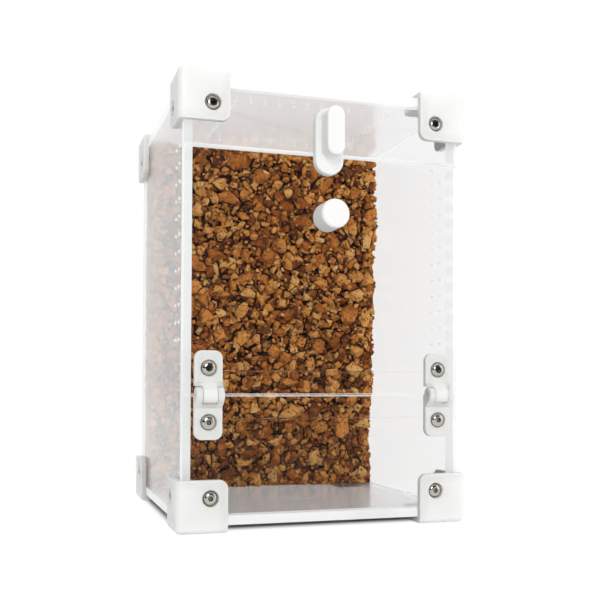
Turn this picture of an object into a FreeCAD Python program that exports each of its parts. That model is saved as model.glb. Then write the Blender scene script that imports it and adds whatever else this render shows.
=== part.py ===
import FreeCAD, Part
import math
import os

# Upright case of clear acrylic sheet for small climbing insects. White printed brackets hold its eight
# corners, the front has a drop-down door under a fixed strip, and a slab of cork covers the back wall.
# Millimetres, +Z up, front towards -Y. The origin lies on the ground under the middle of the case.

# Acrylic case, outside sizes
case_width = 150.0
case_depth = 150.0
case_height = 225.0
panel_thickness = 5.0
sheet_joint_gap = 0.1

# Front panels, with the door between a lower panel and an upper strip
lower_panel_top = 65.0
upper_strip_height = 35.0
door_edge_gap = 0.25
door_wall_gap = 0.3

# Vent holes
vent_diameter = 1.5
top_vent_columns = 12
top_vent_rows = 12
top_vent_column_pitch = 7.9
top_vent_row_pitch = 6.9
top_vent_front_row = 22.5
side_vent_columns = 2
side_vent_rows = 12
side_vent_column_pitch = 10.0
side_vent_row_pitch = 9.0
side_vent_front_column = 14.0
side_vent_top_row = 33.0

# Corner brackets
bracket_wall = 3.4
bracket_reach = 23.0
bracket_corner_radius = 4.5
bracket_edge_radius = 3.0
bracket_rim_radius = 0.9
bracket_screw_inset = 14.0

# Button head screws, all of one thread
screw_diameter = 4.0
screw_hole_clearance = 0.2
screw_tip_chamfer = 0.4
head_diameter = 7.6
head_height = 2.2
head_rim = 0.5
head_flat_diameter = 3.6
head_bulge = 0.42
socket_across_flats = 2.5
socket_depth = 1.3
head_pocket_clearance = 0.4
head_pocket_depth = 2.3
screw_tip_setback = 0.1

# Hinges
hinge_inset = 12.7
hinge_width = 14.2
hinge_leaf_length = 22.2
hinge_leaf_thickness = 3.2
hinge_corner_radius = 4.0
hinge_rim_radius = 0.8
hinge_barrel_radius = 4.2
hinge_barrel_gap = 0.3
hinge_flank_foot = 6.5
hinge_middle_knuckle = 7.4
hinge_knuckle_gap = 0.2
hinge_screw_distance = 13.4
hinge_pocket_depth = 1.0
hinge_pin_diameter = 2.5
hinge_pin_recess = 0.3
hinge_pin_running_clearance = 0.08

# Door knob
knob_below_door_top = 33.0
knob_diameter = 15.0
knob_length = 15.0
knob_edge_radius = 1.6
knob_screw_bite = 7.0
tapped_hole_spare = 1.0

# Turn latch, its pivot above the door's top edge and its ends below and above the pivot
latch_pivot_rise = 10.0
latch_tip_drop = 21.4
latch_crown_rise = 13.4
latch_width = 15.4
latch_base_thickness = 4.5
latch_grip_drop = 13.4
latch_grip_rise = 11.8
latch_grip_width = 9.4
latch_length = 15.0
latch_edge_radius = 1.2
latch_front_gap = 0.3
latch_boss_diameter = 9.0
latch_screw_bite = 8.0
latch_running_clearance = 0.08

# Cork background
cork_bottom_thickness = 31.0
cork_top_thickness = 43.0
cork_relief = 7.0
cork_granule = 10.0
cork_side_clearance = 0.3
cork_top_clearance = 3.0

# Places that follow from the sizes above
half_width = case_width / 2
half_depth = case_depth / 2
case_bottom = bracket_wall
case_top = case_bottom + case_height
floor_top = case_bottom + panel_thickness
ceiling = case_top - panel_thickness
wall_bottom = floor_top + sheet_joint_gap
wall_top = ceiling - sheet_joint_gap
front_face = -half_depth
door_front_face = front_face - door_wall_gap
split_height = case_bottom + lower_panel_top
strip_bottom = case_top - upper_strip_height
hinge_axis_y = door_front_face - hinge_barrel_gap - hinge_barrel_radius
knob_z = strip_bottom - knob_below_door_top
latch_pivot_z = strip_bottom + latch_pivot_rise
latch_back_y = door_front_face - latch_front_gap
screw_radius = screw_diameter / 2
head_radius = head_diameter / 2

left, right = -1, 1
front, back = -1, 1
bottom, top = -1, 1


def vector(x, y, z):
    return FreeCAD.Vector(x, y, z)


def block(x_range, y_range, z_range):
    """A box between two values on each axis."""
    size = [high - low for low, high in (x_range, y_range, z_range)]
    return Part.makeBox(*size, vector(x_range[0], y_range[0], z_range[0]))


def rod(radius, start, direction, length):
    return Part.makeCylinder(radius, length, start, direction)


def turned(profile):
    """A solid of revolution about Z from a closed list of edges in the XZ plane."""
    face = Part.Face(Part.Wire(profile))
    return face.revolve(vector(0, 0, 0), vector(0, 0, 1), 360)


def aimed(shape, point, direction):
    """The shape with its origin moved to the point and its +Z turned to the direction."""
    copy = shape.copy()
    copy.Placement = FreeCAD.Placement(point, FreeCAD.Rotation(vector(0, 0, 1), direction))
    return copy


def edges_along(shape, axis, tests):
    """Straight edges that run along an axis (0, 1, 2) and pass every (axis, value) test."""
    found = []
    for edge in shape.Edges:
        ends = [vertex.Point for vertex in edge.Vertexes]
        if len(ends) != 2 or not isinstance(edge.Curve, Part.Line):
            continue
        across = [i for i in range(3) if i != axis]
        runs_along = all(abs(ends[0][i] - ends[1][i]) < 1e-6 for i in across)
        if runs_along and all(abs(ends[0][i] - value) < 1e-6 for i, value in tests):
            found.append(edge)
    return found


def edges_where_two_meet(shape, value):
    """Straight edges along any axis on which both other axes have this value."""
    found = []
    for axis in range(3):
        found += edges_along(shape, axis, [(i, value) for i in range(3) if i != axis])
    return found


def edges_on_plane(shape, axis, value):
    """Every edge that lies in the plane where this axis has this value."""
    found = []
    for edge in shape.Edges:
        box = edge.BoundBox
        low, high = ((box.XMin, box.XMax), (box.YMin, box.YMax), (box.ZMin, box.ZMax))[axis]
        if abs(low - value) < 1e-4 and abs(high - value) < 1e-4:
            found.append(edge)
    return found


def save(name, *solids):
    shape = solids[0] if len(solids) == 1 else Part.makeCompound(list(solids))
    shape.exportStep(f"parts/{name}.step")


def button_screw(length):
    """Button head screw, head up, its seat at Z = 0 and its tip at Z = -length."""
    tip = -length
    rim_start = vector(head_radius, 0, head_rim)
    flat_start = vector(head_flat_diameter / 2, 0, head_height)
    chord = flat_start - rim_start
    outward = vector(chord.z, 0, -chord.x).normalize()
    dome_middle = (rim_start + flat_start) * 0.5 + outward * head_bulge
    corners = [
        vector(0, 0, head_height),
        vector(0, 0, tip),
        vector(screw_radius - screw_tip_chamfer, 0, tip),
        vector(screw_radius, 0, tip + screw_tip_chamfer),
        vector(screw_radius, 0, 0),
        vector(head_radius, 0, 0),
        rim_start,
    ]
    profile = [Part.makeLine(a, b) for a, b in zip(corners, corners[1:])]
    profile.append(Part.Arc(rim_start, dome_middle, flat_start).toShape())
    profile.append(Part.makeLine(flat_start, corners[0]))
    return turned(profile).cut(hex_socket())


def hex_socket():
    radius = socket_across_flats / math.sqrt(3)
    points = []
    for k in range(7):
        angle = math.radians(60 * k)
        points.append(vector(radius * math.cos(angle), radius * math.sin(angle), head_height - socket_depth))
    return Part.Face(Part.makePolygon(points)).extrude(vector(0, 0, socket_depth))


def bracket_screw_spots():
    """Every bracket screw as its plate's name, the outward direction, and its spot on the case's skin."""
    across = half_width - bracket_screw_inset
    deep = half_depth - bracket_screw_inset
    low = case_bottom + bracket_screw_inset
    high = case_top - bracket_screw_inset
    spots = []
    for x in (-across, across):
        for z in (low, high):
            spots.append(("front", vector(0, -1, 0), vector(x, -half_depth, z)))
            spots.append(("back", vector(0, 1, 0), vector(x, half_depth, z)))
        for y in (-deep, deep):
            spots.append(("bottom", vector(0, 0, -1), vector(x, y, case_bottom)))
            spots.append(("top", vector(0, 0, 1), vector(x, y, case_top)))
    for y in (-deep, deep):
        for z in (low, high):
            spots.append(("left", vector(-1, 0, 0), vector(-half_width, y, z)))
            spots.append(("right", vector(1, 0, 0), vector(half_width, y, z)))
    return spots


def tapped_holes(plate):
    """The screw holes through the panel that lies under one side's bracket plates."""
    holes = []
    for name, outward, spot in bracket_screw_spots():
        if name == plate:
            holes.append(rod(screw_radius, spot, outward * -1, panel_thickness))
    return holes


def base_panel():
    panel = block((-half_width, half_width), (-half_depth, half_depth), (case_bottom, floor_top))
    return panel.cut(tapped_holes("bottom"))


def top_panel():
    panel = block((-half_width, half_width), (-half_depth, half_depth), (ceiling, case_top))
    holes = tapped_holes("top")
    first_x = -top_vent_column_pitch * (top_vent_columns - 1) / 2
    first_y = front_face + top_vent_front_row
    for column in range(top_vent_columns):
        for row in range(top_vent_rows):
            on_outline = column in (0, top_vent_columns - 1) or row in (0, top_vent_rows - 1)
            if on_outline:
                spot = vector(
                    first_x + column * top_vent_column_pitch,
                    first_y + row * top_vent_row_pitch,
                    ceiling,
                )
                holes.append(rod(vent_diameter / 2, spot, vector(0, 0, 1), panel_thickness))
    return panel.cut(holes)


def side_wall(side):
    outer = side * half_width
    inner = outer - side * panel_thickness
    panel = block(
        (min(outer, inner), max(outer, inner)),
        (front_face + panel_thickness + sheet_joint_gap, half_depth - panel_thickness - sheet_joint_gap),
        (wall_bottom, wall_top),
    )
    holes = tapped_holes("left" if side == left else "right")
    for column in range(side_vent_columns):
        for row in range(side_vent_rows):
            spot = vector(
                outer,
                front_face + side_vent_front_column + column * side_vent_column_pitch,
                case_top - side_vent_top_row - row * side_vent_row_pitch,
            )
            holes.append(rod(vent_diameter / 2, spot, vector(-side, 0, 0), panel_thickness))
    return panel.cut(holes)


def back_wall():
    panel = block(
        (-half_width, half_width),
        (half_depth - panel_thickness, half_depth),
        (wall_bottom, wall_top),
    )
    return panel.cut(tapped_holes("back"))


def lower_front_panel():
    panel = block(
        (-half_width, half_width),
        (front_face, front_face + panel_thickness),
        (wall_bottom, split_height - door_edge_gap),
    )
    holes = tapped_holes("front")
    for side in (left, right):
        spot = vector(hinge_x(side), front_face, split_height - hinge_screw_distance)
        holes.append(rod(screw_radius, spot, vector(0, 1, 0), panel_thickness))
    return panel.cut(holes)


def upper_front_strip():
    panel = block(
        (-half_width, half_width),
        (front_face, front_face + panel_thickness),
        (strip_bottom + door_edge_gap, wall_top),
    )
    pivot = vector(0, front_face, latch_pivot_z)
    pivot_hole = rod(screw_radius + latch_running_clearance, pivot, vector(0, 1, 0), panel_thickness)
    return panel.cut(tapped_holes("front") + [pivot_hole])


def door_panel():
    panel = block(
        (-half_width, half_width),
        (door_front_face, door_front_face + panel_thickness),
        (split_height + door_edge_gap, strip_bottom - door_edge_gap),
    )
    holes = []
    for side in (left, right):
        spot = vector(hinge_x(side), door_front_face, split_height + hinge_screw_distance)
        holes.append(rod(screw_radius, spot, vector(0, 1, 0), panel_thickness))
    knob_spot = vector(0, door_front_face, knob_z)
    holes.append(rod(screw_radius + screw_hole_clearance, knob_spot, vector(0, 1, 0), panel_thickness))
    return panel.cut(holes)


def corner_bracket(side, face, level):
    """Three square plates that meet at one corner of the case, with a sunk screw seat in each."""
    outer = bracket_wall
    inner = -bracket_reach
    span = (inner, outer)
    body = block(span, span, span)
    body = body.makeFillet(bracket_edge_radius, edges_where_two_meet(body, outer))
    hollow = (inner - bracket_wall, 0)
    body = body.cut(block(hollow, hollow, hollow))
    body = body.makeFillet(bracket_corner_radius, edges_where_two_meet(body, inner))
    body = body.makeFillet(bracket_rim_radius, outer_rim(body, outer))
    for axis in range(3):
        body = body.cut(screw_seat(axis))
    corner = vector(side * half_width, face * half_depth, case_top if level == top else case_bottom)
    for axis, sign in enumerate((side, face, level)):
        if sign < 0:
            body = body.mirror(vector(0, 0, 0), vector(*[1 if i == axis else 0 for i in range(3)]))
    body.translate(corner)
    return body


def outer_rim(body, outer):
    """The free outline of the three outer plate faces, without the seams of the large outside rounds."""
    seam = outer - bracket_edge_radius
    rim = []
    for axis in range(3):
        others = [i for i in range(3) if i != axis]
        for edge in edges_on_plane(body, axis, outer):
            ends = [vertex.Point for vertex in edge.Vertexes]
            on_seam = any(all(abs(end[i] - seam) < 1e-4 for end in ends) for i in others)
            if not on_seam:
                rim.append(edge)
    return rim


def screw_seat(axis):
    """The sunk seat and the through hole of one bracket plate, in the frame of the case's corner."""
    outward = [0, 0, 0]
    outward[axis] = 1
    spot = [-bracket_screw_inset] * 3
    spot[axis] = bracket_wall - head_pocket_depth
    pocket = rod(head_radius + head_pocket_clearance, vector(*spot), vector(*outward), head_pocket_depth)
    spot[axis] = 0
    hole = rod(screw_radius + screw_hole_clearance, vector(*spot), vector(*outward), bracket_wall)
    return pocket.fuse(hole)


def bracket_screws(plate):
    seat_height = bracket_wall - head_pocket_depth
    screw = button_screw(seat_height + panel_thickness - screw_tip_setback)
    placed = []
    for name, outward, spot in bracket_screw_spots():
        if name == plate:
            placed.append(aimed(screw, spot + outward * seat_height, outward))
    return placed


def hinge_x(side):
    return side * (half_width - hinge_inset)


def leaf_plate(panel_face, thickness, start, end):
    """Flat leaf from the hinge line outwards, its far corners rounded and its front rim softened."""
    half = hinge_width / 2
    plate = block((-half, half), (panel_face - thickness, panel_face), (min(start, end), max(start, end)))
    far_corners = edges_along(plate, 1, [(2, end)])
    plate = plate.makeFillet(hinge_corner_radius, far_corners)
    rim = [edge for edge in edges_on_plane(plate, 1, panel_face - thickness) if not on_level(edge, start)]
    return plate.makeFillet(hinge_rim_radius, rim)


def on_level(edge, height):
    return abs(edge.BoundBox.ZMin - height) < 1e-4 and abs(edge.BoundBox.ZMax - height) < 1e-4


def leaf_screw_seat(panel_face, thickness, height):
    """Sunk seat and through hole of one leaf."""
    seat_y = panel_face - thickness + hinge_pocket_depth
    inwards = vector(0, -1, 0)
    pocket = rod(head_radius + head_pocket_clearance, vector(0, seat_y, height), inwards, hinge_pocket_depth)
    hole = rod(screw_radius + screw_hole_clearance, vector(0, panel_face, height), inwards, thickness)
    return pocket.fuse(hole)


def barrel():
    """The whole hinge barrel along X, centred on the hinge line, with softened ends."""
    half = hinge_width / 2
    whole = rod(hinge_barrel_radius, vector(-half, 0, 0), vector(1, 0, 0), hinge_width)
    rims = edges_on_plane(whole, 0, -half) + edges_on_plane(whole, 0, half)
    return whole.makeFillet(hinge_rim_radius, rims)


def flank(leaf_front, direction):
    """Wedge from the front of a leaf up to the barrel and tangent to it, above (+1) or below (-1) it."""
    half = hinge_width / 2
    foot_angle = math.atan2(hinge_flank_foot, -leaf_front)
    crest_angle = foot_angle - math.acos(hinge_barrel_radius / math.hypot(leaf_front, hinge_flank_foot))
    crest_y = -hinge_barrel_radius * math.cos(crest_angle)
    crest_z = hinge_barrel_radius * math.sin(crest_angle)
    root_y = leaf_front + hinge_rim_radius
    section = [
        (0, 0),
        (crest_y, crest_z),
        (leaf_front, hinge_flank_foot),
        (root_y, hinge_flank_foot),
        (root_y, 0),
        (0, 0),
    ]
    outline = Part.makePolygon([vector(-half, y, direction * z) for y, z in section])
    wedge = Part.Face(outline).extrude(vector(hinge_width, 0, 0))
    slopes = []
    for edge in wedge.Edges:
        ends = [vertex.Point for vertex in edge.Vertexes]
        nearest = min(math.hypot(end.y, end.z) for end in ends)
        if abs(nearest - hinge_barrel_radius) < 1e-6 and abs(ends[0].x - ends[1].x) < 1e-6:
            slopes.append(edge)
    return wedge.makeFillet(hinge_rim_radius, slopes)


def swing_space(low, high):
    """Room for the other leaf's knuckle between two values of X, and behind it up to the panel."""
    radius = hinge_barrel_radius + hinge_barrel_gap
    space = rod(radius, vector(low, 0, 0), vector(1, 0, 0), high - low)
    return space.fuse(block((low, high), (0, 2 * radius), (-radius, radius)))


def hinge_leaf(side, panel_face, thickness, start, direction, spaces, bore_radius):
    """One leaf with its part of the barrel, above (+1) or below (-1) the hinge line."""
    half = hinge_width / 2
    leaf = leaf_plate(panel_face, thickness, start, direction * hinge_leaf_length)
    leaf = leaf.fuse([flank(panel_face - thickness, direction), barrel()])
    leaf = leaf.cut([swing_space(low, high) for low, high in spaces])
    leaf = leaf.cut(rod(bore_radius, vector(-half, 0, 0), vector(1, 0, 0), hinge_width))
    leaf = leaf.cut(leaf_screw_seat(panel_face, thickness, direction * hinge_screw_distance))
    leaf = leaf.removeSplitter()
    leaf.translate(vector(hinge_x(side), hinge_axis_y, split_height))
    return leaf


def hinge_lower_leaf(side):
    """Leaf on the fixed lower panel with the two outer knuckles, which hold the pin."""
    notch_half = hinge_middle_knuckle / 2 + hinge_knuckle_gap
    spaces = [(-notch_half, notch_half)]
    pin_radius = hinge_pin_diameter / 2
    return hinge_leaf(side, front_face - hinge_axis_y, hinge_leaf_thickness, 0, -1, spaces, pin_radius)


def hinge_door_leaf(side):
    """Leaf on the door with the middle knuckle, thinner because the door stands a little proud."""
    knuckle_half = hinge_middle_knuckle / 2
    spaces = [(-hinge_width, -knuckle_half), (knuckle_half, hinge_width)]
    bore_radius = hinge_pin_diameter / 2 + hinge_pin_running_clearance
    thickness = hinge_leaf_thickness - door_wall_gap
    panel_face = door_front_face - hinge_axis_y
    return hinge_leaf(side, panel_face, thickness, door_edge_gap, 1, spaces, bore_radius)


def hinge_pin(side):
    length = hinge_width - 2 * hinge_pin_recess
    start = vector(hinge_x(side) - length / 2, hinge_axis_y, split_height)
    return rod(hinge_pin_diameter / 2, start, vector(1, 0, 0), length)


def hinge_screws(panel_face, leaf_thickness, direction):
    """The two screws of one pair of leaves, below (-1) or above (+1) the hinge line."""
    grip = leaf_thickness - hinge_pocket_depth
    screw = button_screw(grip + panel_thickness - screw_tip_setback)
    height = split_height + direction * hinge_screw_distance
    seat_y = panel_face - grip
    return [aimed(screw, vector(hinge_x(side), seat_y, height), vector(0, -1, 0)) for side in (left, right)]


def door_knob():
    """Round pull with a blind tapped hole in its back."""
    radius = knob_diameter / 2
    knob = rod(radius, vector(0, 0, 0), vector(0, 0, 1), knob_length)
    knob = knob.makeFillet(knob_edge_radius, edges_on_plane(knob, 2, knob_length))
    hole = rod(screw_radius, vector(0, 0, 0), vector(0, 0, 1), knob_screw_bite + tapped_hole_spare)
    return aimed(knob.cut(hole), vector(0, door_front_face, knob_z), vector(0, -1, 0))


def knob_screw():
    """Screw of the knob, its head on the inside of the door."""
    seat = vector(0, door_front_face + panel_thickness, knob_z)
    return aimed(button_screw(panel_thickness + knob_screw_bite), seat, vector(0, 1, 0))


def stadium(width, low, high, near_y, far_y):
    """Upright bar with round ends, centred on X = 0, between two depths."""
    radius = width / 2
    points = [
        vector(-radius, near_y, low + radius),
        vector(0, near_y, low),
        vector(radius, near_y, low + radius),
        vector(radius, near_y, high - radius),
        vector(0, near_y, high),
        vector(-radius, near_y, high - radius),
    ]
    outline = Part.Wire(
        [
            Part.Arc(points[0], points[1], points[2]).toShape(),
            Part.makeLine(points[2], points[3]),
            Part.Arc(points[3], points[4], points[5]).toShape(),
            Part.makeLine(points[5], points[0]),
        ]
    )
    return Part.Face(outline).extrude(vector(0, far_y - near_y, 0))


def rounded_front(bar, front_y):
    return bar.makeFillet(latch_edge_radius, edges_on_plane(bar, 1, front_y))


def turn_latch():
    """Flat round-ended tongue with a tall grip bar, tapped for the pivot screw from behind."""
    base_front = latch_back_y - latch_base_thickness
    grip_front = latch_back_y - latch_length
    tip = latch_pivot_z - latch_tip_drop
    crown = latch_pivot_z + latch_crown_rise
    base = rounded_front(stadium(latch_width, tip, crown, latch_back_y, base_front), base_front)
    grip_low = latch_pivot_z - latch_grip_drop
    grip_high = latch_pivot_z + latch_grip_rise
    grip = rounded_front(stadium(latch_grip_width, grip_low, grip_high, latch_back_y, grip_front), grip_front)
    pivot = vector(0, latch_back_y, latch_pivot_z)
    boss_length = front_face - latch_front_gap - latch_back_y
    boss = rod(latch_boss_diameter / 2, pivot, vector(0, 1, 0), boss_length)
    hole_start = pivot + vector(0, boss_length, 0)
    hole_depth = boss_length + latch_screw_bite + tapped_hole_spare
    hole = rod(screw_radius, hole_start, vector(0, -1, 0), hole_depth)
    return base.fuse([grip, boss]).cut(hole).removeSplitter()


def latch_pivot_screw():
    """Pivot screw of the latch, its head just clear of the inside of the upper strip."""
    seat = vector(0, front_face + panel_thickness + latch_front_gap, latch_pivot_z)
    length = seat.y - latch_back_y + latch_screw_bite
    return aimed(button_screw(length), seat, vector(0, 1, 0))


def uneven(column, row):
    """A steady but irregular number from 0 to 1 for each grid point."""
    return math.sin(column * 12.9898 + row * 78.233) * 43758.5453 % 1


def cork_background():
    """Cork slab that swells towards its top, its front broken into facets of about one granule each."""
    half = half_width - panel_thickness - cork_side_clearance
    low = floor_top
    high = ceiling - cork_top_clearance
    back_y = half_depth - panel_thickness
    swell = cork_top_thickness - cork_bottom_thickness
    columns = round(2 * half / cork_granule)
    rows = round((high - low) / cork_granule)

    def front_point(column, row):
        x = -half + 2 * half * column / columns
        z = low + (high - low) * row / rows
        thickness = cork_bottom_thickness + swell * math.sin(math.pi / 2 * row / rows)
        return vector(x, back_y - thickness - cork_relief * (uneven(column, row) - 0.5), z)

    faces = []
    for column in range(columns):
        for row in range(rows):
            a, b = front_point(column, row), front_point(column + 1, row)
            c, d = front_point(column + 1, row + 1), front_point(column, row + 1)
            faces.append(Part.Face(Part.makePolygon([a, b, c, a])))
            faces.append(Part.Face(Part.makePolygon([a, c, d, a])))
    left_side = [front_point(0, row) for row in range(rows + 1)]
    right_side = [front_point(columns, row) for row in range(rows + 1)]
    floor_side = [front_point(column, 0) for column in range(columns + 1)]
    top_side = [front_point(column, rows) for column in range(columns + 1)]
    for side in (left_side, right_side, floor_side, top_side):
        ends = [vector(side[-1].x, back_y, side[-1].z), vector(side[0].x, back_y, side[0].z)]
        faces.append(Part.Face(Part.makePolygon(side + ends + [side[0]])))
    corners = [(-half, low), (half, low), (half, high), (-half, high), (-half, low)]
    faces.append(Part.Face(Part.makePolygon([vector(x, back_y, z) for x, z in corners])))
    slab = Part.makeSolid(Part.makeShell(faces))
    return slab if slab.Volume > 0 else slab.reversed()


os.makedirs("parts", exist_ok=True)

save("base_panel", base_panel())
save("top_panel", top_panel())
save("left_wall", side_wall(left))
save("right_wall", side_wall(right))
save("back_wall", back_wall())
save("lower_front_panel", lower_front_panel())
save("upper_front_strip", upper_front_strip())
save("door_panel", door_panel())
save("cork_background", cork_background())

for level, level_name in ((bottom, "bottom"), (top, "top")):
    for face, face_name in ((front, "front"), (back, "back")):
        for side, side_name in ((left, "left"), (right, "right")):
            save(f"{level_name}_{face_name}_{side_name}_bracket", corner_bracket(side, face, level))

for plate in ("front", "back", "left", "right", "bottom", "top"):
    save(f"{plate}_bracket_screws", *bracket_screws(plate))

for side, side_name in ((left, "left"), (right, "right")):
    save(f"{side_name}_hinge_lower_leaf", hinge_lower_leaf(side))
    save(f"{side_name}_hinge_door_leaf", hinge_door_leaf(side))
    save(f"{side_name}_hinge_pin", hinge_pin(side))
save("lower_hinge_screws", *hinge_screws(front_face, hinge_leaf_thickness, -1))
save("door_hinge_screws", *hinge_screws(door_front_face, hinge_leaf_thickness - door_wall_gap, 1))

save("door_knob", door_knob())
save("door_knob_screw", knob_screw())
save("turn_latch", turn_latch())
save("latch_pivot_screw", latch_pivot_screw())
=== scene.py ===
import math

import bmesh
import bpy
import numpy as np
from mathutils import Matrix, Vector
from mathutils.bvhtree import BVHTree


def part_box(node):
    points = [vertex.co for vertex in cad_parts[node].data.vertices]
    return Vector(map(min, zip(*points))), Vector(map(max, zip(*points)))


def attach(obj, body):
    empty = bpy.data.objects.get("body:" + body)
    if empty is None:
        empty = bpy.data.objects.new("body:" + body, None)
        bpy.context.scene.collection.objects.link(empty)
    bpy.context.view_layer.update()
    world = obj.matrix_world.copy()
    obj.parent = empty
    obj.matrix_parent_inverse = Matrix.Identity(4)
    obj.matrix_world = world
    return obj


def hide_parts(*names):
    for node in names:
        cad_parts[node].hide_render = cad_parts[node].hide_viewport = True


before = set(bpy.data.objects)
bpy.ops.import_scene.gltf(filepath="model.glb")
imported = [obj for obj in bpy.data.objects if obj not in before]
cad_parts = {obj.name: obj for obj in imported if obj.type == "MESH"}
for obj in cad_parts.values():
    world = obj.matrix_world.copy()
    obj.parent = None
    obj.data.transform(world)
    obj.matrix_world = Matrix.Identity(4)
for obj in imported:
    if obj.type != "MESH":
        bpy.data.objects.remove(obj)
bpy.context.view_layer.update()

# Looks for a clear acrylic insect case: sheets with laser cut edges, white printed fittings,
# stainless screws and a thick slab of granulated cork against the back.

millimetre = 0.001
# what the values of a noise texture mostly lie between
noiseSpan = (0.3, 0.7)
# rays that a material sends out to find how open a spot is
opennessRays = 6


def linear(hexColour):
    # sRGB hex to the linear values that the shaders work in
    parts = [int(hexColour[i:i + 2], 16) / 255 for i in (1, 3, 5)]
    return tuple(c / 12.92 if c <= 0.04045 else ((c + 0.055) / 1.055) ** 2.4 for c in parts) + (1.0,)


def scaleFor(size):
    # the scale at which a texture's features are about size mm across
    return 1 / (size * millimetre)


def addNode(tree, kind, settings=None, **links):
    # settings are the node's own properties, links its inputs by name with spaces as underscores:
    # another node's output is linked, anything else is set on the socket
    node = tree.nodes.new("ShaderNode" + kind)
    for name, value in (settings or {}).items():
        setattr(node, name, value)
    for name, value in links.items():
        key = int(name[5:]) if name.startswith("input") else name.replace("_", " ")
        if isinstance(value, bpy.types.NodeSocket):
            tree.links.new(value, node.inputs[key])
        else:
            node.inputs[key].default_value = value
    return node


def newMaterial(name):
    material = bpy.data.materials.new(name)
    material.use_nodes = True
    material.node_tree.nodes.clear()
    return material, material.node_tree


def setRamp(node, stops):
    ramp = node.color_ramp
    while len(ramp.elements) < len(stops):
        ramp.elements.new(0.5)
    for element, (position, colour) in zip(ramp.elements, stops):
        element.position = position
        element.color = linear(colour)


def dress(nodes, material):
    for name in nodes:
        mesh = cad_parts[name].data
        mesh.materials.clear()
        mesh.materials.append(material)


# Cast acrylic sheet, 5 mm, laser cut: the faces are optically clear, the cut edges are fire polished
# and faintly rippled by the beam, and they carry a painted glow, an even emission that stands for the room's
# light running inside the sheet
acrylic = {
    "tint": "#FEFEFE",
    "shadowTint": "#EEF1F1",
    "baseShadowTint": "#828282",
    "frost": "#F6F7F7",
    "frostShare": 0.8,              # of what a cut edge shows is scattered light
    "frostThrough": 0.5,            # of that light comes through the edge, the rest off it
    "frostRoughness": 0.5,
    "paintedEdgeGlow": 0.34,               # painted glow: emission on the cut edges, standing for light that the whole sheet has gathered
    "paintedBaseGlow": 0.46,               # painted glow on the base panel's cut edges, stronger than on the other sheets
    "ior": 1.49,
    "edgeCosine": 0.9,              # of the turn from the sheet's faces beyond which a surface is cut
    "squareMirror": 0.2,            # of the reflection is left where a sheet is seen squarely
    "mirrorSpan": (0.04, 0.25),     # reflectance where it is seen squarely, and where all is left
    "mirrorBlur": 0.2,              # least roughness of what is mirrored
    "faceRoughness": 0.0,
    "edgeRoughness": 0.16,
    "ripple": 1.2,                  # mm; the beam's own stripes are about 0.1 mm and too fine to show
    "rippleDepth": 0.02,            # mm
    "contactAir": 0.04,             # mm of air where a sheet touches a bracket, or rays are trapped
    "cornerJoin": 0.001,            # mm within which the corners of two faces are one
    "cutRound": 0.4,                # mm, the cut edges are scraped and then flamed
    "crispAngle": 30,               # degrees between faces that are shaded apart in the vented sheets
}


def clearBody(tree, roughness, bump):
    # what is seen through a sheet and what it mirrors
    through = addNode(tree, "BsdfRefraction", Color=linear(acrylic["tint"]), IOR=acrylic["ior"],
                      Roughness=roughness.outputs[0], Normal=bump.outputs[0])
    blur = addNode(tree, "Math", {"operation": "MAXIMUM"}, input0=roughness.outputs[0],
                   input1=acrylic["mirrorBlur"])
    mirror = addNode(tree, "BsdfAnisotropic", Color=linear(acrylic["tint"]), Roughness=blur.outputs[0],
                     Normal=bump.outputs[0])
    # reflection is held down where a sheet is seen squarely, as by a polarising filter, and is full at a
    # grazing angle and inside the sheet
    fresnel = addNode(tree, "Fresnel", IOR=acrylic["ior"], Normal=bump.outputs[0])
    filtered = addNode(tree, "MapRange", Value=fresnel.outputs[0], From_Min=acrylic["mirrorSpan"][0],
                       From_Max=acrylic["mirrorSpan"][1], To_Min=acrylic["squareMirror"], To_Max=1.0)
    mirrored = addNode(tree, "Math", {"operation": "MULTIPLY"}, input0=fresnel.outputs[0],
                       input1=filtered.outputs[0])
    return addNode(tree, "MixShader", input0=mirrored.outputs[0], input1=through.outputs[0],
                   input2=mirror.outputs[0])


def frostedEdge(tree, paintedEdgeGlow):
    # the cut edges scatter what reaches them, which is why they look white and not clear
    frost = addNode(tree, "BsdfDiffuse", Color=linear(acrylic["frost"]), Roughness=acrylic["frostRoughness"])
    glow = addNode(tree, "BsdfTranslucent", Color=linear(acrylic["frost"]))
    scatter = addNode(tree, "MixShader", input0=acrylic["frostThrough"], input1=frost.outputs[0],
                      input2=glow.outputs[0])
    # painted glow: an emission added to the scattered light, standing for light that runs inside the sheet
    paintedGlow = addNode(tree, "Emission", Strength=paintedEdgeGlow)
    return addNode(tree, "AddShader", input0=scatter.outputs[0], input1=paintedGlow.outputs[0])


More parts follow.
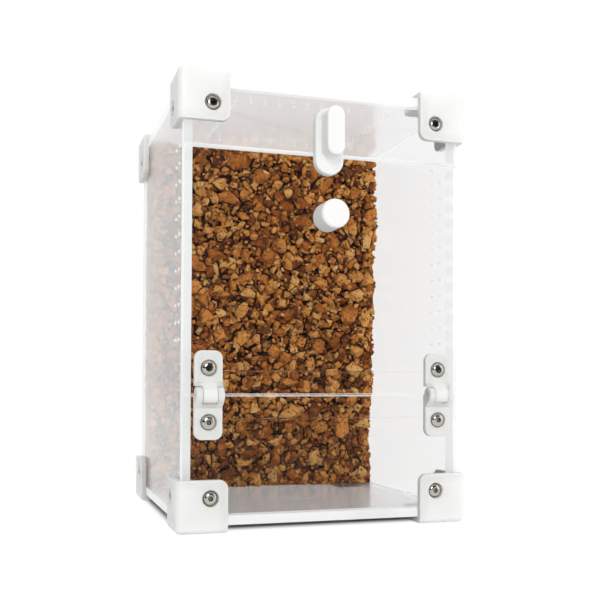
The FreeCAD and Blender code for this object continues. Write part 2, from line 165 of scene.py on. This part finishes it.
def acrylicSheet(axis, shadowTint, paintedEdgeGlow):
    material, tree = newMaterial("laserCutAcrylic" + axis)
    place = addNode(tree, "TexCoord")
    across = addNode(tree, "SeparateXYZ", Vector=place.outputs["Normal"])
    facing = addNode(tree, "Math", {"operation": "ABSOLUTE"}, input0=across.outputs[axis])
    edge = addNode(tree, "Math", {"operation": "LESS_THAN"}, input0=facing.outputs[0],
                   input1=acrylic["edgeCosine"])
    ripples = addNode(tree, "TexNoise", Vector=place.outputs["Object"], Scale=scaleFor(acrylic["ripple"]),
                      Detail=1.0)
    roughness = addNode(tree, "MapRange", Value=edge.outputs[0],
                        To_Min=acrylic["faceRoughness"], To_Max=acrylic["edgeRoughness"])
    relief = addNode(tree, "Math", {"operation": "MULTIPLY"}, input0=ripples.outputs[0],
                     input1=edge.outputs[0])
    bump = addNode(tree, "Bump", Height=relief.outputs[0], Strength=1.0,
                   Distance=acrylic["rippleDepth"] * millimetre)
    clear = clearBody(tree, roughness, bump)
    white = frostedEdge(tree, paintedEdgeGlow)
    frosted = addNode(tree, "Math", {"operation": "MULTIPLY"}, input0=edge.outputs[0],
                      input1=acrylic["frostShare"])
    body = addNode(tree, "MixShader", input0=frosted.outputs[0], input1=clear.outputs[0],
                   input2=white.outputs[0])
    # lamps and bounced light pass straight through, as they nearly do in a thin clear sheet
    straight = addNode(tree, "BsdfTransparent", Color=linear(shadowTint))
    path = addNode(tree, "LightPath")
    lighting = addNode(tree, "Math", {"operation": "MAXIMUM"}, input0=path.outputs["Is Shadow Ray"],
                       input1=path.outputs["Is Diffuse Ray"])
    mixed = addNode(tree, "MixShader", input0=lighting.outputs[0], input1=body.outputs[0],
                    input2=straight.outputs[0])
    addNode(tree, "OutputMaterial", Surface=mixed.outputs[0])
    return material


def finishSheet(sheet, vented):
    # rounding would tear the triangles round the small vent holes, so the vented sheets stay crisp
    sheet.modifiers.new("joinCorners", "WELD").merge_threshold = acrylic["cornerJoin"] * millimetre
    if not vented:
        rounding = sheet.modifiers.new("cutRound", "BEVEL")
        rounding.width = acrylic["cutRound"] * millimetre
        rounding.limit_method = "ANGLE"
    air = sheet.modifiers.new("contactAir", "DISPLACE")
    air.mid_level = 0.0
    air.strength = -acrylic["contactAir"] * millimetre
    if vented:
        sheet.modifiers.new("crispFaces", "EDGE_SPLIT").split_angle = math.radians(acrylic["crispAngle"])


# Which way each sheet faces, its tint for shadows and its painted edge glow: the base stands under everything
# else in the case and lets less light down to the table
sheetsFacing = [
    ("X", "shadowTint", "paintedEdgeGlow", ["left_wall", "right_wall"]),
    ("Y", "shadowTint", "paintedEdgeGlow", ["back_wall", "lower_front_panel", "upper_front_strip", "door_panel"]),
    ("Z", "shadowTint", "paintedEdgeGlow", ["top_panel"]),
    ("Z", "baseShadowTint", "paintedBaseGlow", ["base_panel"]),
]
ventedSheets = ["left_wall", "right_wall", "top_panel"]
for axis, tint, glow, sheets in sheetsFacing:
    dress(sheets, acrylicSheet(axis, acrylic[tint], acrylic[glow]))
    for name in sheets:
        finishSheet(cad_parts[name], name in ventedSheets)
print("acrylic sheets dressed")


# White PETG from a printer, satin: soft highlights, fine layer lines and a slightly mottled skin
printedPlastic = {
    "colour": "#F3F3F1",
    "paintedThinShade": "#D6D7D3",          # painted shade: thin parts are drawn darker, for light that goes through them and is lost
    "thinReach": 5.5,           # mm
    "thinSpan": (0.05, 0.38),   # openness towards the inside where a piece is thin, and where it is thick
    "ior": 1.57,
    "roughness": (0.36, 0.5),   # least and most, over the mottled skin
    "layer": 0.8,               # mm; real layers are 0.2 mm and too fine to show
    "layerDepth": 0.012,        # mm
    "layerWander": 0.4,
    "mottle": 6.0,              # mm
    "translucency": 0.6,
    "depth": 1.5,               # mm that light wanders under the skin
}
# how many of its own units Blender's band texture repeats in
bandPeriod = 0.314


def printedSkin():
    material, tree = newMaterial("printedPETG")
    place = addNode(tree, "TexCoord")
    layers = addNode(tree, "TexWave", {"wave_type": "BANDS", "bands_direction": "Z", "wave_profile": "SIN"},
                     Vector=place.outputs["Object"], Scale=bandPeriod * scaleFor(printedPlastic["layer"]),
                     Distortion=printedPlastic["layerWander"], Detail=1.0, Detail_Scale=0.5)
    mottle = addNode(tree, "TexNoise", Vector=place.outputs["Object"],
                     Scale=scaleFor(printedPlastic["mottle"]), Detail=3.0)
    roughness = addNode(tree, "MapRange", Value=mottle.outputs[0], From_Min=noiseSpan[0],
                        From_Max=noiseSpan[1], To_Min=printedPlastic["roughness"][0],
                        To_Max=printedPlastic["roughness"][1])
    bump = addNode(tree, "Bump", Height=layers.outputs["Fac"], Strength=1.0,
                   Distance=printedPlastic["layerDepth"] * millimetre)
    # painted shade: where the inside is close the piece is thin, and its colour is drawn darker
    inwards = addNode(tree, "AmbientOcclusion", {"samples": opennessRays, "only_local": True, "inside": True},
                      Distance=printedPlastic["thinReach"] * millimetre)
    thick = addNode(tree, "MapRange", Value=inwards.outputs["AO"], From_Min=printedPlastic["thinSpan"][0],
                    From_Max=printedPlastic["thinSpan"][1])
    colour = addNode(tree, "Mix", {"data_type": "RGBA"}, input0=thick.outputs[0],
                     input6=linear(printedPlastic["paintedThinShade"]), input7=linear(printedPlastic["colour"]))
    skin = addNode(tree, "BsdfPrincipled", Base_Color=colour.outputs[2], IOR=printedPlastic["ior"],
                   Roughness=roughness.outputs[0], Normal=bump.outputs[0],
                   Subsurface_Weight=printedPlastic["translucency"], Subsurface_Radius=(1.0, 1.0, 1.0),
                   Subsurface_Scale=printedPlastic["depth"] * millimetre)
    addNode(tree, "OutputMaterial", Surface=skin.outputs[0])
    return material


printedNodes = [f"{level}_{face}_{side}_bracket" for level in ("bottom", "top")
                for face in ("front", "back") for side in ("left", "right")]
printedNodes += [f"{side}_hinge_{leaf}_leaf" for side in ("left", "right") for leaf in ("lower", "door")]
printedNodes += ["door_knob", "turn_latch"]
dress(printedNodes, printedSkin())
print("printed fittings dressed")


# A2 stainless steel, cold headed and tumbled bright: sharp reflections, slightly warm grey
stainless = {
    "colour": "#BDB9B0",
    "roughness": (0.06, 0.15),  # least and most, over the dents
    "paintedRecessShade": "#1C1B19",         # painted shade in the hex sockets and other hollows
    "recessShadeReach": 2.2,          # mm
    "recessShadeSpan": (0.3, 0.95),   # openness of a spot in full painted shade, and of one without it
    "tumbling": 1.5,            # mm between the soft dents of tumbling
    "dentDepth": 0.01,          # mm
}


def tumbledSteel():
    material, tree = newMaterial("tumbledStainless")
    place = addNode(tree, "TexCoord")
    dents = addNode(tree, "TexNoise", Vector=place.outputs["Object"], Scale=scaleFor(stainless["tumbling"]),
                    Detail=1.0)
    roughness = addNode(tree, "MapRange", Value=dents.outputs[0], From_Min=noiseSpan[0],
                        From_Max=noiseSpan[1], To_Min=stainless["roughness"][0],
                        To_Max=stainless["roughness"][1])
    bump = addNode(tree, "Bump", Height=dents.outputs[0], Strength=1.0,
                   Distance=stainless["dentDepth"] * millimetre)
    # painted shade: hollows within a screw, such as its hex socket, are drawn near black
    openness = addNode(tree, "AmbientOcclusion", {"samples": opennessRays, "only_local": True},
                       Distance=stainless["recessShadeReach"] * millimetre)
    unshaded = addNode(tree, "MapRange", Value=openness.outputs["AO"], From_Min=stainless["recessShadeSpan"][0],
                    From_Max=stainless["recessShadeSpan"][1])
    colour = addNode(tree, "Mix", {"data_type": "RGBA"}, input0=unshaded.outputs[0],
                     input6=linear(stainless["paintedRecessShade"]), input7=linear(stainless["colour"]))
    steel = addNode(tree, "BsdfPrincipled", Base_Color=colour.outputs[2], Metallic=1.0,
                    Roughness=roughness.outputs[0], Normal=bump.outputs[0])
    addNode(tree, "OutputMaterial", Surface=steel.outputs[0])
    return material


steelNodes = [f"{side}_bracket_screws" for side in ("front", "back", "left", "right", "bottom", "top")]
steelNodes += ["lower_hinge_screws", "door_hinge_screws", "left_hinge_pin", "right_hinge_pin",
               "door_knob_screw", "latch_pivot_screw"]
dress(steelNodes, tumbledSteel())
print("screws and pins dressed")


# Granulated cork bark, pressed into a slab: angular chunks from crumbs to 16 mm with dark gaps between
corkSlab = {
    "seed": 11,
    "templates": 40,                # hulls that one batch of granules is made from
    "cornerReach": (0.75, 1.0),     # how far a hull's corners lie from its middle, least and most
    "bulk": 0.6,                    # what such a hull is scaled by, of the granule's size
    "stretch": ((0.9, 0.65, 0.5), (1.35, 1.0, 0.85)),   # least and most, along a granule's three axes
    "pressed": 0.4,                 # how far a granule's flat side lies from its middle, of its size
    "sizeSkew": 1.3,                # above 1, the face has more small granules of a kind than large ones
    "tries": 12,                    # places tried for each granule, of which the loneliest is taken
    "borderParts": 3,               # the smallest size over this is kept free along the slab's border
    "sunk": 0.34,                   # how far behind the slab's face a granule's middle lies, of its size
    "sideSunk": 0.25,               # the same on the other sides
    "behindFace": 0.5,              # how far the granules of the sides stay behind the face, of their size
    "coreInset": 6.5,               # mm from the face to the dark core
    "shellInset": 0.4,              # mm from the other sides to the core
    "coreGrid": (36, 54),           # points across and up the core's waved face
    # kind: (how many, smallest mm, largest mm, how deep behind the face in mm, corners)
    "face": {
        "chunks": (150, 9.0, 16.0, -0.5, 16),
        "pieces": (850, 4.5, 9.5, 1.8, 13),
        "crumbs": (2400, 1.8, 4.2, 2.6, 11),
        "deepPieces": (700, 6.0, 10.0, 5.0, 12),
    },
    "shell": {
        "pieces": (1300, 6.0, 11.0, 0.3, 12),
        "crumbs": (1500, 3.0, 5.0, 0.3, 10),
    },
}
corkLow, corkHigh = [np.array(corner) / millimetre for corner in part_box("cork_background")]
corkWidth, corkDepth, corkHeight = corkHigh - corkLow


def chunkTemplates(dice, corners):
    # the hulls of random points near a ball, which have the flat sides and sharp edges of crushed bark;
    # each is returned as its points and triangles
    templates = []
    for _ in range(corkSlab["templates"]):
        spots = dice.normal(size=(corners, 3))
        reach = dice.uniform(*corkSlab["cornerReach"], corners)
        spots *= (reach / np.linalg.norm(spots, axis=1))[:, None]
        shape = bmesh.new()
        for spot in spots:
            shape.verts.new(spot)
        hull = bmesh.ops.convex_hull(shape, input=shape.verts)
        loose = [item for item in hull["geom_interior"] if isinstance(item, bmesh.types.BMVert)]
        bmesh.ops.delete(shape, geom=loose, context="VERTS")
        shape.verts.index_update()
        points = np.array([v.co for v in shape.verts], float)
        faces = np.array([[v.index for v in f.verts] for f in shape.faces], int)
        templates.append((points, faces))
        shape.free()
    return templates


def randomTurns(dice, count):
    # uniformly spread rotations, from random quaternions
    q = dice.normal(size=(count, 4))
    q /= np.linalg.norm(q, axis=1)[:, None]
    w, x, y, z = q.T
    return np.stack([
        np.stack([1 - 2 * (y * y + z * z), 2 * (x * y - w * z), 2 * (x * z + w * y)], 1),
        np.stack([2 * (x * y + w * z), 1 - 2 * (x * x + z * z), 2 * (y * z - w * x)], 1),
        np.stack([2 * (x * z - w * y), 2 * (y * z + w * x), 1 - 2 * (x * x + y * y)], 1),
    ], 1)


def crushedChunks(dice, places, sizes, corners, flatSide):
    # each granule is one of the hulls, stretched and turned, and pressed flat towards flatSide
    templates = chunkTemplates(dice, corners)
    turns = randomTurns(dice, len(places))
    outwards = np.array(flatSide, float)
    points, faces, counts, offset = [], [], [], 0
    for place, size, turn in zip(places, sizes, turns):
        corner, triangle = templates[dice.integers(len(templates))]
        stretch = dice.uniform(*corkSlab["stretch"])
        shape = (corner * stretch) @ turn.T * size * corkSlab["bulk"]
        beyond = np.maximum(shape @ outwards - size * corkSlab["pressed"], 0)
        shape -= beyond[:, None] * outwards
        points.append(shape + place)
        faces.append(triangle + offset)
        counts.append(len(corner))
        offset += len(corner)
    return np.concatenate(points), np.concatenate(faces), counts


def spread(dice, count, width, height, border):
    # places on a rectangle, each new one the farthest of a few tries from those before it
    tries = corkSlab["tries"]
    chosen = np.zeros((count, 2))
    for i in range(count):
        spots = np.column_stack([dice.uniform(border, width - border, tries),
                                 dice.uniform(border, height - border, tries)])
        if i:
            apart = np.min(np.linalg.norm(spots[:, None] - chosen[None, :i], axis=2), axis=1)
            spots = spots[np.argmax(apart):]
        chosen[i] = spots[0]
    return chosen


def slabFace():
    # the broken front of the CAD slab as a function of x and z, all in mm
    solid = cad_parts["cork_background"]
    corners = [solid.matrix_world @ v.co for v in solid.data.vertices]
    tree = BVHTree.FromPolygons(corners, [p.vertices for p in solid.data.polygons])
    start = corkLow[1] - 5      # in front of the slab
    inside = 0.2                # from the slab's edges, where a ray could miss it

    def depth(x, z):
        x = min(max(x, corkLow[0] + inside), corkHigh[0] - inside)
        z = min(max(z, corkLow[2] + inside), corkHigh[2] - inside)
        hit = tree.ray_cast(Vector((x, start, z)) * millimetre, Vector((0, 1, 0)))[0]
        return hit.y / millimetre

    return np.vectorize(depth)


def frontGranules(dice):
    # every kind on the broken front, following its swell
    batches = []
    for count, smallest, largest, depth, corners in corkSlab["face"].values():
        flat = spread(dice, count, corkWidth, corkHeight, smallest / corkSlab["borderParts"])
        sizes = smallest + (largest - smallest) * dice.uniform(0, 1, count) ** corkSlab["sizeSkew"]
        x = corkLow[0] + flat[:, 0]
        z = corkLow[2] + flat[:, 1]
        y = faceDepth(x, z) + sizes * corkSlab["sunk"] + depth * dice.uniform(0, 1, count)
        batches.append((np.column_stack([x, y, z]), sizes, corners, (0, -1, 0)))
    return batches


def sideGranules(dice):
    # every kind on the back, both sides, the top and the bottom, shared out by their areas; a side is
    # the axis across it, its two measures and its place on that axis
    sides = [(1, corkWidth, corkHeight, corkHigh[1]), (0, corkDepth, corkHeight, corkLow[0]),
             (0, corkDepth, corkHeight, corkHigh[0]), (2, corkWidth, corkDepth, corkHigh[2]),
             (2, corkWidth, corkDepth, corkLow[2])]
    whole = sum(wide * tall for _, wide, tall, _ in sides)
    batches = []
    for count, smallest, largest, depth, corners in corkSlab["shell"].values():
        for normalAxis, wide, tall, wall in sides:
            share = max(1, round(count * wide * tall / whole))
            flat = spread(dice, share, wide, tall, smallest / corkSlab["borderParts"])
            sizes = dice.uniform(smallest, largest, share)
            sunk = sizes * corkSlab["sideSunk"] + depth * dice.uniform(0, 1, share)
            inwards = 1 if wall in corkLow else -1
            flatSide = [0, 0, 0]
            flatSide[normalAxis] = -inwards
            first, second = [a for a in range(3) if a != normalAxis]
            places = np.zeros((share, 3))
            places[:, normalAxis] = wall + inwards * sunk
            places[:, first] = corkLow[first] + flat[:, 0]
            places[:, second] = corkLow[second] + flat[:, 1]
            # the sides end where the broken face begins
            nearest = faceDepth(places[:, 0], places[:, 2]) + sizes * corkSlab["behindFace"]
            places[:, 1] = np.maximum(places[:, 1], nearest)
            batches.append((places, sizes, corners, flatSide))
    return batches


def granuleMesh(name, dice, batches):
    # one mesh from many crushed chunks, pressed flat where they meet the slab's box
    points, faces, tones, offset = [], [], [], 0
    for places, sizes, corners, flatSide in batches:
        spots, triangles, counts = crushedChunks(dice, places, sizes, corners, flatSide)
        points.append(spots)
        faces.append(triangles + offset)
        tones.append(np.repeat(dice.uniform(0, 1, len(places)), counts))
        offset += len(spots)
    points = np.clip(np.concatenate(points), corkLow, corkHigh)
    faces = np.concatenate(faces)
    mesh = bpy.data.meshes.new(name)
    mesh.from_pydata(points * millimetre, [], faces)
    tone = mesh.attributes.new("granuleTone", "FLOAT", "POINT")
    tone.data.foreach_set("value", np.concatenate(tones).astype(np.float32))
    piece = bpy.data.objects.new(name, mesh)
    bpy.context.scene.collection.objects.link(piece)
    return piece


# Crushed bark: dull and dry, ochre to chestnut, each granule its own tone, with pores, dark crust, and
# painted shade in the gaps between granules
corkBark = {
    # a granule's tone from dark to pale, and its colour there
    "tones": [(0.0, "#5E2C0A"), (0.22, "#A8581A"), (0.5, "#D98536"), (0.8, "#F0A452"), (1.0, "#F7BA70")],
    # painted shade: the slab's inside, from near black to dark brown
    "insideShadeTones": [(0.35, "#110501"), (0.75, "#5E2C0A")],
    "crust": "#6E4020",
    # painted shade for the gaps between loose granules, and the colour of the borders between sawn cells
    "gap": "#110501",
    "gapShadeReach": 2.5,            # mm
    "gapShadeSpan": (0.3, 0.85),     # openness of a spot deep in a gap, and of one outside it
    "pore": 1.6,                # mm between pores, which are 0.3 mm wide and drawn coarser
    "poreSpan": (0.56, 0.68),   # where the noise begins to be a pore, and where it is one
    "poreDepth": 0.25,          # mm
    "grain": 5.0,               # mm
    "grainShift": 1.0,          # how much the grain changes a granule's tone
    "cell": 5.5,                # mm across a sawn granule
    "cellBend": 6.0,            # mm that the grain bends the straight borders of the cells by
    "cellGap": (0.01, 0.1),     # distance in cells from a border, in the gap and outside it
    "roughness": 0.86,
    "sheen": 0.25,
    "insideRoughness": 0.95,
    "insideSheen": 0.1,
}


def looseGranules(tree):
    # the tone that each granule was given, and how open it lies, which sets the painted shade in its gaps
    tone = addNode(tree, "Attribute", {"attribute_name": "granuleTone"}).outputs["Fac"]
    openness = addNode(tree, "AmbientOcclusion", {"samples": opennessRays, "only_local": True},
                       Distance=corkBark["gapShadeReach"] * millimetre)
    gap = addNode(tree, "MapRange", Value=openness.outputs["AO"], From_Min=corkBark["gapShadeSpan"][0],
                  From_Max=corkBark["gapShadeSpan"][1])
    return tone, gap.outputs[0]


def sawnGranules(tree, place, grain):
    # the same for a sawn side, where the granules are cells of a pattern
    bend = addNode(tree, "VectorMath", {"operation": "MULTIPLY_ADD"}, input0=grain.outputs["Color"],
                   input1=(corkBark["cellBend"] * millimetre,) * 3, input2=place.outputs["Object"])
    cells = addNode(tree, "TexVoronoi", Vector=bend.outputs["Vector"], Scale=scaleFor(corkBark["cell"]))
    tone = addNode(tree, "SeparateColor", Color=cells.outputs["Color"])
    borders = addNode(tree, "TexVoronoi", {"feature": "DISTANCE_TO_EDGE"}, Vector=bend.outputs["Vector"],
                      Scale=scaleFor(corkBark["cell"]))
    gap = addNode(tree, "MapRange", Value=borders.outputs["Distance"], From_Min=corkBark["cellGap"][0],
                  From_Max=corkBark["cellGap"][1])
    return tone.outputs[0], gap.outputs[0]


def corkMaterial(name, sawn):
    material, tree = newMaterial(name)
    place = addNode(tree, "TexCoord")
    grain = addNode(tree, "TexNoise", Vector=place.outputs["Object"], Scale=scaleFor(corkBark["grain"]),
                    Detail=4.0, Roughness=0.65)
    shade = addNode(tree, "Math", {"operation": "MULTIPLY_ADD"}, input0=grain.outputs[0],
                    input1=corkBark["grainShift"], input2=-corkBark["grainShift"] / 2)
    tone, gap = sawnGranules(tree, place, grain) if sawn else looseGranules(tree)
    shifted = addNode(tree, "Math", {"operation": "ADD"}, input0=tone, input1=shade.outputs[0])
    colours = addNode(tree, "ValToRGB", Fac=shifted.outputs[0])
    setRamp(colours, corkBark["tones"])
    pores = addNode(tree, "TexNoise", Vector=place.outputs["Object"], Scale=scaleFor(corkBark["pore"]),
                    Detail=2.0, Roughness=0.6)
    pitted = addNode(tree, "MapRange", Value=pores.outputs[0], From_Min=corkBark["poreSpan"][0],
                     From_Max=corkBark["poreSpan"][1])
    crusted = addNode(tree, "Mix", {"data_type": "RGBA"}, input0=pitted.outputs[0], input6=colours.outputs[0],
                      input7=linear(corkBark["crust"]))
    bump = addNode(tree, "Bump", Height=pores.outputs[0], Strength=1.0,
                   Distance=corkBark["poreDepth"] * millimetre)
    # painted shade: the gaps between loose granules, found by how closed in a spot is, are drawn near black;
    # on the sawn side the same colour draws the borders of the cells
    shadedGaps = addNode(tree, "Mix", {"data_type": "RGBA"}, input0=gap, input6=linear(corkBark["gap"]),
                     input7=crusted.outputs[2])
    bark = addNode(tree, "BsdfPrincipled", Base_Color=shadedGaps.outputs[2], Roughness=corkBark["roughness"],
                   Specular_IOR_Level=corkBark["sheen"], Normal=bump.outputs[0])
    addNode(tree, "OutputMaterial", Surface=bark.outputs[0])
    return material


def corkCoreMaterial():
    # painted shade: the inside of the slab, seen only behind the granules, is coloured near black for the
    # deep shade there
    material, tree = newMaterial("corkInsideShade")
    place = addNode(tree, "TexCoord")
    crumbs = addNode(tree, "TexNoise", Vector=place.outputs["Object"], Scale=scaleFor(corkBark["grain"]),
                     Detail=3.0)
    colours = addNode(tree, "ValToRGB", Fac=crumbs.outputs[0])
    setRamp(colours, corkBark["insideShadeTones"])
    inside = addNode(tree, "BsdfPrincipled", Base_Color=colours.outputs[0],
                     Roughness=corkBark["insideRoughness"], Specular_IOR_Level=corkBark["insideSheen"])
    addNode(tree, "OutputMaterial", Surface=inside.outputs[0])
    return material


def corkCore():
    # a block with a waved face, inside the granules on every side
    inset = corkSlab["shellInset"]
    across, up = corkSlab["coreGrid"]
    xs = np.linspace(corkLow[0] + inset, corkHigh[0] - inset, across)
    zs = np.linspace(corkLow[2] + inset, corkHigh[2] - inset, up)
    gridX, gridZ = np.meshgrid(xs, zs)
    front = faceDepth(gridX, gridZ) + corkSlab["coreInset"]
    back = np.full_like(front, corkHigh[1] - inset)
    points = np.concatenate([np.stack([gridX, y, gridZ], 2).reshape(-1, 3) for y in (front, back)])
    rear = across * up
    quads = []
    for j in range(up - 1):
        for i in range(across - 1):
            a = j * across + i
            quads.append((a, a + 1, a + across + 1, a + across))
            quads.append((rear + a, rear + a + across, rear + a + across + 1, rear + a + 1))
    for i in range(across - 1):
        top = (up - 1) * across + i
        quads.append((i, rear + i, rear + i + 1, i + 1))
        quads.append((top, top + 1, rear + top + 1, rear + top))
    for j in range(up - 1):
        a, b = j * across, j * across + across - 1
        quads.append((a, a + across, rear + a + across, rear + a))
        quads.append((b, rear + b, rear + b + across, b + across))
    mesh = bpy.data.meshes.new("corkInside")
    mesh.from_pydata(points * millimetre, [], quads)
    mesh.materials.append(corkCoreMaterial())
    mesh.materials.append(corkMaterial("sawnCork", True))
    # what looks forwards is the inside in painted shade, the rest is sawn
    for polygon in mesh.polygons:
        polygon.material_index = 0 if polygon.normal.y < -0.5 else 1
    piece = bpy.data.objects.new("corkInside", mesh)
    bpy.context.scene.collection.objects.link(piece)
    return piece


barkMaterial = corkMaterial("crushedCorkBark", False)
dice = np.random.default_rng(corkSlab["seed"])
faceDepth = slabFace()

corkFace = granuleMesh("corkFaceGranules", dice, frontGranules(dice))
corkFace.data.materials.append(barkMaterial)
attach(corkFace, "root")

corkShell = granuleMesh("corkShellGranules", dice, sideGranules(dice))
corkShell.data.materials.append(barkMaterial)
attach(corkShell, "root")

corkInside = corkCore()
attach(corkInside, "root")
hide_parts("cork_background")
print("cork slab built,", sum(len(o.data.polygons) for o in (corkFace, corkShell, corkInside)), "faces")


# The photograph's camera, solved from the case's edges. Its frame is cropped high, hence the shift
photoCamera = {
    "place": (-151.05, -510.0, 76.0),   # mm
    "turn": 17.47,                      # degrees to the right of straight at the front
    "tilt": 1.36,                       # degrees up
    "roll": 0.24,                       # degrees
    "lens": 53.28,                      # mm
    "sensor": 36.0,                     # mm wide
    "shift": 0.0985,                    # of the picture's width, upwards
    "nearest": 0.01,                    # m
    "farthest": 50.0,                   # m
}
cameraData = bpy.data.cameras.new("photoCamera")
cameraData.lens = photoCamera["lens"]
cameraData.sensor_width = photoCamera["sensor"]
cameraData.shift_y = photoCamera["shift"]
cameraData.clip_start = photoCamera["nearest"]
cameraData.clip_end = photoCamera["farthest"]
camera = bpy.data.objects.new("photoCamera", cameraData)
bpy.context.scene.collection.objects.link(camera)
turned = (Matrix.Rotation(-math.radians(photoCamera["turn"]), 4, "Z")
          @ Matrix.Rotation(math.radians(90 + photoCamera["tilt"]), 4, "X")
          @ Matrix.Rotation(math.radians(photoCamera["roll"]), 4, "Z"))
camera.matrix_world = Matrix.Translation(Vector(photoCamera["place"]) * millimetre) @ turned
bpy.context.scene.camera = camera
print("camera placed")


# A white table that fades into the white background, so that only the shadow near the case shows
studioFloor = {
    "reach": 3.0,                   # m
    "colour": "#FAFAFA",
    "grain": 25.0,                  # mm
    "roughness": (0.75, 0.95),      # least and most, over the grain
    "sheen": 0.1,
    "sideFade": (0.072, 0.0775),    # m from the middle along X, where the table starts and ends to fade
    "frontFade": (0.058, 0.074),    # m, the same along Y
    "paintedLightThroughBase": 0.85,            # share of painted white light on the table where it is seen through the base panel, in the case's shade
}


def floorMaterial():
    material, tree = newMaterial("whiteTable")
    place = addNode(tree, "TexCoord")
    apart = addNode(tree, "VectorMath", {"operation": "ABSOLUTE"}, Vector=place.outputs["Object"])
    distances = addNode(tree, "SeparateXYZ", Vector=apart.outputs["Vector"])
    fades = [addNode(tree, "MapRange", {"interpolation_type": "SMOOTHSTEP"}, Value=distances.outputs[axis],
                     From_Min=studioFloor[side][0], From_Max=studioFloor[side][1])
             for axis, side in (("X", "sideFade"), ("Y", "frontFade"))]
    fade = addNode(tree, "Math", {"operation": "MAXIMUM"}, input0=fades[0].outputs[0],
                   input1=fades[1].outputs[0])
    grain = addNode(tree, "TexNoise", Vector=place.outputs["Object"], Scale=scaleFor(studioFloor["grain"]),
                    Detail=2.0)
    roughness = addNode(tree, "MapRange", Value=grain.outputs[0], To_Min=studioFloor["roughness"][0],
                        To_Max=studioFloor["roughness"][1])
    table = addNode(tree, "BsdfPrincipled", Base_Color=linear(studioFloor["colour"]),
                    Roughness=roughness.outputs[0], Specular_IOR_Level=studioFloor["sheen"])
    white = addNode(tree, "Emission", Strength=1.0)
    path = addNode(tree, "LightPath")
    seenOrGlossy = addNode(tree, "Math", {"operation": "MAXIMUM"}, input0=path.outputs["Is Camera Ray"],
                           input1=path.outputs["Is Glossy Ray"])
    seen = addNode(tree, "Math", {"operation": "MAXIMUM"}, input0=seenOrGlossy.outputs[0],
                   input1=path.outputs["Is Transmission Ray"])
    # painted light: seen through the base panel the table is drawn mostly white, brighter than in the slit
    # under it, though it lies in the case's shade
    through = addNode(tree, "Math", {"operation": "MULTIPLY"}, input0=path.outputs["Is Transmission Ray"],
                      input1=studioFloor["paintedLightThroughBase"])
    near = addNode(tree, "Math", {"operation": "MAXIMUM"}, input0=fade.outputs[0], input1=through.outputs[0])
    share = addNode(tree, "Math", {"operation": "MULTIPLY"}, input0=near.outputs[0], input1=seen.outputs[0])
    mixed = addNode(tree, "MixShader", input0=share.outputs[0], input1=table.outputs[0],
                    input2=white.outputs[0])
    addNode(tree, "OutputMaterial", Surface=mixed.outputs[0])
    return material


reach = studioFloor["reach"]
floorMesh = bpy.data.meshes.new("studioFloor")
floorMesh.from_pydata([(-reach, -reach, 0), (reach, -reach, 0), (reach, reach, 0), (-reach, reach, 0)], [],
                      [(0, 1, 2, 3)])
floor = bpy.data.objects.new("studioFloor", floorMesh)
bpy.context.scene.collection.objects.link(floor)
floorMesh.materials.append(floorMaterial())
print("table laid")


# The room: white all round to the eye and through the acrylic, and dim on the photographer's side
# for what mirrors it, as in a studio with a lit white sweep behind the object
studioRoom = {
    "background": "#FFFFFF",
    "ambient": 0.54,
    "photographerSide": 0.06,
    "litSide": 0.9,
    "heightCounts": 1.1,        # how much light from above counts as light from behind
    "mirrorSpan": (-0.1, 0.55), # that sum where the dim side ends, and where the lit side is full
}


def roomLight():
    world = bpy.data.worlds.new("studioRoom")
    bpy.context.scene.world = world
    world.use_nodes = True
    tree = world.node_tree
    tree.nodes.clear()
    path = addNode(tree, "LightPath")
    place = addNode(tree, "TexCoord")
    parts = addNode(tree, "SeparateXYZ", Vector=place.outputs["Generated"])
    # mirrored light: full from behind and above, low from the front
    lift = addNode(tree, "Math", {"operation": "MULTIPLY_ADD"}, input0=parts.outputs["Z"],
                   input1=studioRoom["heightCounts"], input2=parts.outputs["Y"])
    mirrored = addNode(tree, "MapRange", {"interpolation_type": "SMOOTHSTEP"}, Value=lift.outputs[0],
                       From_Min=studioRoom["mirrorSpan"][0], From_Max=studioRoom["mirrorSpan"][1],
                       To_Min=studioRoom["photographerSide"], To_Max=studioRoom["litSide"])
    # what a ray has been mirrored by sees the photographer's side; what it only passed through doesn't
    mirrors = addNode(tree, "Math", {"operation": "GREATER_THAN"}, input0=path.outputs["Glossy Depth"],
                      input1=0.5)
    lit = addNode(tree, "MapRange", Value=path.outputs["Is Diffuse Ray"], To_Min=1.0,
                  To_Max=studioRoom["ambient"])
    level = addNode(tree, "Mix", {"data_type": "FLOAT"}, input0=mirrors.outputs[0],
                    input2=lit.outputs[0], input3=mirrored.outputs[0])
    light = addNode(tree, "Background", Color=linear(studioRoom["background"]), Strength=level.outputs[0])
    addNode(tree, "OutputWorld", Surface=light.outputs[0])


roomLight()

# Softboxes: name, place in mm, size in mm, watts. Each points at the middle of the case
softboxes = [
    ("keyBox", (-380, -1400, 620), 600, 6.6),
    ("fillBox", (900, -650, 350), 700, 2.4),
    ("topBox", (100, 250, 1150), 900, 2.4),
    ("backBox", (300, 1300, 500), 700, 5.0),
]
caseMiddle = Vector((0, 0, 110)) * millimetre
for name, place, size, watts in softboxes:
    lampData = bpy.data.lights.new(name, "AREA")
    lampData.shape = "SQUARE"
    lampData.size = size * millimetre
    lampData.energy = watts
    lamp = bpy.data.objects.new(name, lampData)
    bpy.context.scene.collection.objects.link(lamp)
    lamp.location = Vector(place) * millimetre
    # behind the case it would be seen through the sheets
    lamp.visible_transmission = lamp.visible_glossy = name != "backBox"
    lamp.rotation_euler = (caseMiddle - lamp.location).to_track_quat("-Z", "Y").to_euler()
print("studio lit")

scene = bpy.context.scene
scene.view_settings.view_transform = "Standard"
# light that runs inside the sheets crosses many faces before it leaves
sheetCrossings = 24
mirrorings = 8
scene.cycles.max_bounces = sheetCrossings
scene.cycles.transmission_bounces = sheetCrossings
scene.cycles.transparent_max_bounces = sheetCrossings
scene.cycles.glossy_bounces = mirrorings

bpy.context.view_layer.update()
